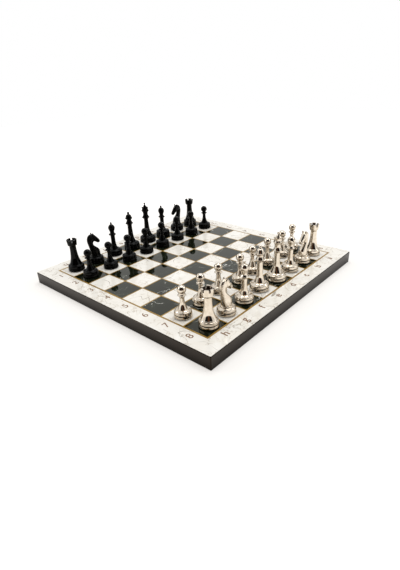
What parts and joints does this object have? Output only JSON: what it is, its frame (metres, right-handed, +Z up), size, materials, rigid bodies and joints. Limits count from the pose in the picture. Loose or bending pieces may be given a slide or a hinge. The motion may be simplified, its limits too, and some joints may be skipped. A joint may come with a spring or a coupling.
{
  "type": "chess set with board",
  "caption": "Chess set: a square marble-faced board with gold lines and a black edge, carrying silver and black turned chessmen that each lift off the board.",
  "frame": {"origin": "centre of the board's underside", "axes": "+X from the a file to the h file, +Y from the first rank to the eighth, +Z up from the board"},
  "size_m": [0.374, 0.374, 0.0942],
  "materials": {
    "polished_nickel": "polished warm nickel plate on a zinc casting",
    "black_lacquer": "gloss black lacquer on a zinc casting",
    "black_edge": "fibreboard with satin black painted edges",
    "light_marble": "gloss laminate with a white marble pattern",
    "dark_marble": "gloss laminate with a black marble pattern",
    "gold_line": "gold foil line",
    "pad_felt": "pressed black felt",
    "backing_felt": "black cloth backing"
  },
  "bodies": {
    "board": {"board_core": "black_edge", "backing_sheet": "backing_felt", "border_frame": "light_marble", "gold_lines": "gold_line", "dark_squares": "dark_marble", "light_squares": "light_marble"},
    "silver_rook_a": {"silver_rook_a": "polished_nickel", "silver_rook_a_felt": "pad_felt"},
    "silver_knight_b": {"silver_knight_b": "polished_nickel", "silver_knight_b_felt": "pad_felt"},
    "silver_bishop_c": {"silver_bishop_c": "polished_nickel", "silver_bishop_c_felt": "pad_felt"},
    "silver_king": {"silver_king": "polished_nickel", "silver_king_felt": "pad_felt"},
    "silver_queen": {"silver_queen": "polished_nickel", "silver_queen_felt": "pad_felt"},
    "silver_bishop_f": {"silver_bishop_f": "polished_nickel", "silver_bishop_f_felt": "pad_felt"},
    "silver_knight_g": {"silver_knight_g": "polished_nickel", "silver_knight_g_felt": "pad_felt"},
    "silver_rook_h": {"silver_rook_h": "polished_nickel", "silver_rook_h_felt": "pad_felt"},
    "silver_pawn_a": {"silver_pawn_a": "polished_nickel"},
    "silver_pawn_b": {"silver_pawn_b": "polished_nickel"},
    "silver_pawn_c": {"silver_pawn_c": "polished_nickel"},
    "silver_pawn_d": {"silver_pawn_d": "polished_nickel"},
    "silver_pawn_e": {"silver_pawn_e": "polished_nickel"},
    "silver_pawn_f": {"silver_pawn_f": "polished_nickel"},
    "silver_pawn_g": {"silver_pawn_g": "polished_nickel"},
    "silver_pawn_h": {"silver_pawn_h": "polished_nickel"},
    "black_rook_a": {"black_rook_a": "black_lacquer", "black_rook_a_felt": "pad_felt"},
    "black_knight_b": {"black_knight_b": "black_lacquer", "black_knight_b_felt": "pad_felt"},
    "black_bishop_c": {"black_bishop_c": "black_lacquer", "black_bishop_c_felt": "pad_felt"},
    "black_king": {"black_king": "black_lacquer", "black_king_felt": "pad_felt"},
    "black_queen": {"black_queen": "black_lacquer", "black_queen_felt": "pad_felt"},
    "black_bishop_f": {"black_bishop_f": "black_lacquer", "black_bishop_f_felt": "pad_felt"},
    "black_knight_g": {"black_knight_g": "black_lacquer", "black_knight_g_felt": "pad_felt"},
    "black_rook_h": {"black_rook_h": "black_lacquer", "black_rook_h_felt": "pad_felt"},
    "black_pawn_a": {"black_pawn_a": "black_lacquer"},
    "black_pawn_b": {"black_pawn_b": "black_lacquer"},
    "black_pawn_c": {"black_pawn_c": "black_lacquer"},
    "black_pawn_d": {"black_pawn_d": "black_lacquer"},
    "black_pawn_e": {"black_pawn_e": "black_lacquer"},
    "black_pawn_f": {"black_pawn_f": "black_lacquer"},
    "black_pawn_g": {"black_pawn_g": "black_lacquer"},
    "black_pawn_h": {"black_pawn_h": "black_lacquer"}
  },
  "joints": [
    {"name": "silver_rook_a_lift", "type": "slide", "parent": "board", "child": "silver_rook_a", "axis": [0, 0, 1], "range_m": [0, 0.1]},
    {"name": "silver_knight_b_lift", "type": "slide", "parent": "board", "child": "silver_knight_b", "axis": [0, 0, 1], "range_m": [0, 0.1]},
    {"name": "silver_bishop_c_lift", "type": "slide", "parent": "board", "child": "silver_bishop_c", "axis": [0, 0, 1], "range_m": [0, 0.1]},
    {"name": "silver_king_lift", "type": "slide", "parent": "board", "child": "silver_king", "axis": [0, 0, 1], "range_m": [0, 0.1]},
    {"name": "silver_queen_lift", "type": "slide", "parent": "board", "child": "silver_queen", "axis": [0, 0, 1], "range_m": [0, 0.1]},
    {"name": "silver_bishop_f_lift", "type": "slide", "parent": "board", "child": "silver_bishop_f", "axis": [0, 0, 1], "range_m": [0, 0.1]},
    {"name": "silver_knight_g_lift", "type": "slide", "parent": "board", "child": "silver_knight_g", "axis": [0, 0, 1], "range_m": [0, 0.1]},
    {"name": "silver_rook_h_lift", "type": "slide", "parent": "board", "child": "silver_rook_h", "axis": [0, 0, 1], "range_m": [0, 0.1]},
    {"name": "silver_pawn_a_lift", "type": "slide", "parent": "board", "child": "silver_pawn_a", "axis": [0, 0, 1], "range_m": [0, 0.1]},
    {"name": "silver_pawn_b_lift", "type": "slide", "parent": "board", "child": "silver_pawn_b", "axis": [0, 0, 1], "range_m": [0, 0.1]},
    {"name": "silver_pawn_c_lift", "type": "slide", "parent": "board", "child": "silver_pawn_c", "axis": [0, 0, 1], "range_m": [0, 0.1]},
    {"name": "silver_pawn_d_lift", "type": "slide", "parent": "board", "child": "silver_pawn_d", "axis": [0, 0, 1], "range_m": [0, 0.1]},
    {"name": "silver_pawn_e_lift", "type": "slide", "parent": "board", "child": "silver_pawn_e", "axis": [0, 0, 1], "range_m": [0, 0.1]},
    {"name": "silver_pawn_f_lift", "type": "slide", "parent": "board", "child": "silver_pawn_f", "axis": [0, 0, 1], "range_m": [0, 0.1]},
    {"name": "silver_pawn_g_lift", "type": "slide", "parent": "board", "child": "silver_pawn_g", "axis": [0, 0, 1], "range_m": [0, 0.1]},
    {"name": "silver_pawn_h_lift", "type": "slide", "parent": "board", "child": "silver_pawn_h", "axis": [0, 0, 1], "range_m": [0, 0.1]},
    {"name": "black_rook_a_lift", "type": "slide", "parent": "board", "child": "black_rook_a", "axis": [0, 0, 1], "range_m": [0, 0.1]},
    {"name": "black_knight_b_lift", "type": "slide", "parent": "board", "child": "black_knight_b", "axis": [0, 0, 1], "range_m": [0, 0.1]},
    {"name": "black_bishop_c_lift", "type": "slide", "parent": "board", "child": "black_bishop_c", "axis": [0, 0, 1], "range_m": [0, 0.1]},
    {"name": "black_king_lift", "type": "slide", "parent": "board", "child": "black_king", "axis": [0, 0, 1], "range_m": [0, 0.1]},
    {"name": "black_queen_lift", "type": "slide", "parent": "board", "child": "black_queen", "axis": [0, 0, 1], "range_m": [0, 0.1]},
    {"name": "black_bishop_f_lift", "type": "slide", "parent": "board", "child": "black_bishop_f", "axis": [0, 0, 1], "range_m": [0, 0.1]},
    {"name": "black_knight_g_lift", "type": "slide", "parent": "board", "child": "black_knight_g", "axis": [0, 0, 1], "range_m": [0, 0.1]},
    {"name": "black_rook_h_lift", "type": "slide", "parent": "board", "child": "black_rook_h", "axis": [0, 0, 1], "range_m": [0, 0.1]},
    {"name": "black_pawn_a_lift", "type": "slide", "parent": "board", "child": "black_pawn_a", "axis": [0, 0, 1], "range_m": [0, 0.1]},
    {"name": "black_pawn_b_lift", "type": "slide", "parent": "board", "child": "black_pawn_b", "axis": [0, 0, 1], "range_m": [0, 0.1]},
    {"name": "black_pawn_c_lift", "type": "slide", "parent": "board", "child": "black_pawn_c", "axis": [0, 0, 1], "range_m": [0, 0.1]},
    {"name": "black_pawn_d_lift", "type": "slide", "parent": "board", "child": "black_pawn_d", "axis": [0, 0, 1], "range_m": [0, 0.1]},
    {"name": "black_pawn_e_lift", "type": "slide", "parent": "board", "child": "black_pawn_e", "axis": [0, 0, 1], "range_m": [0, 0.1]},
    {"name": "black_pawn_f_lift", "type": "slide", "parent": "board", "child": "black_pawn_f", "axis": [0, 0, 1], "range_m": [0, 0.1]},
    {"name": "black_pawn_g_lift", "type": "slide", "parent": "board", "child": "black_pawn_g", "axis": [0, 0, 1], "range_m": [0, 0.1]},
    {"name": "black_pawn_h_lift", "type": "slide", "parent": "board", "child": "black_pawn_h", "axis": [0, 0, 1], "range_m": [0, 0.1]}
  ]
}
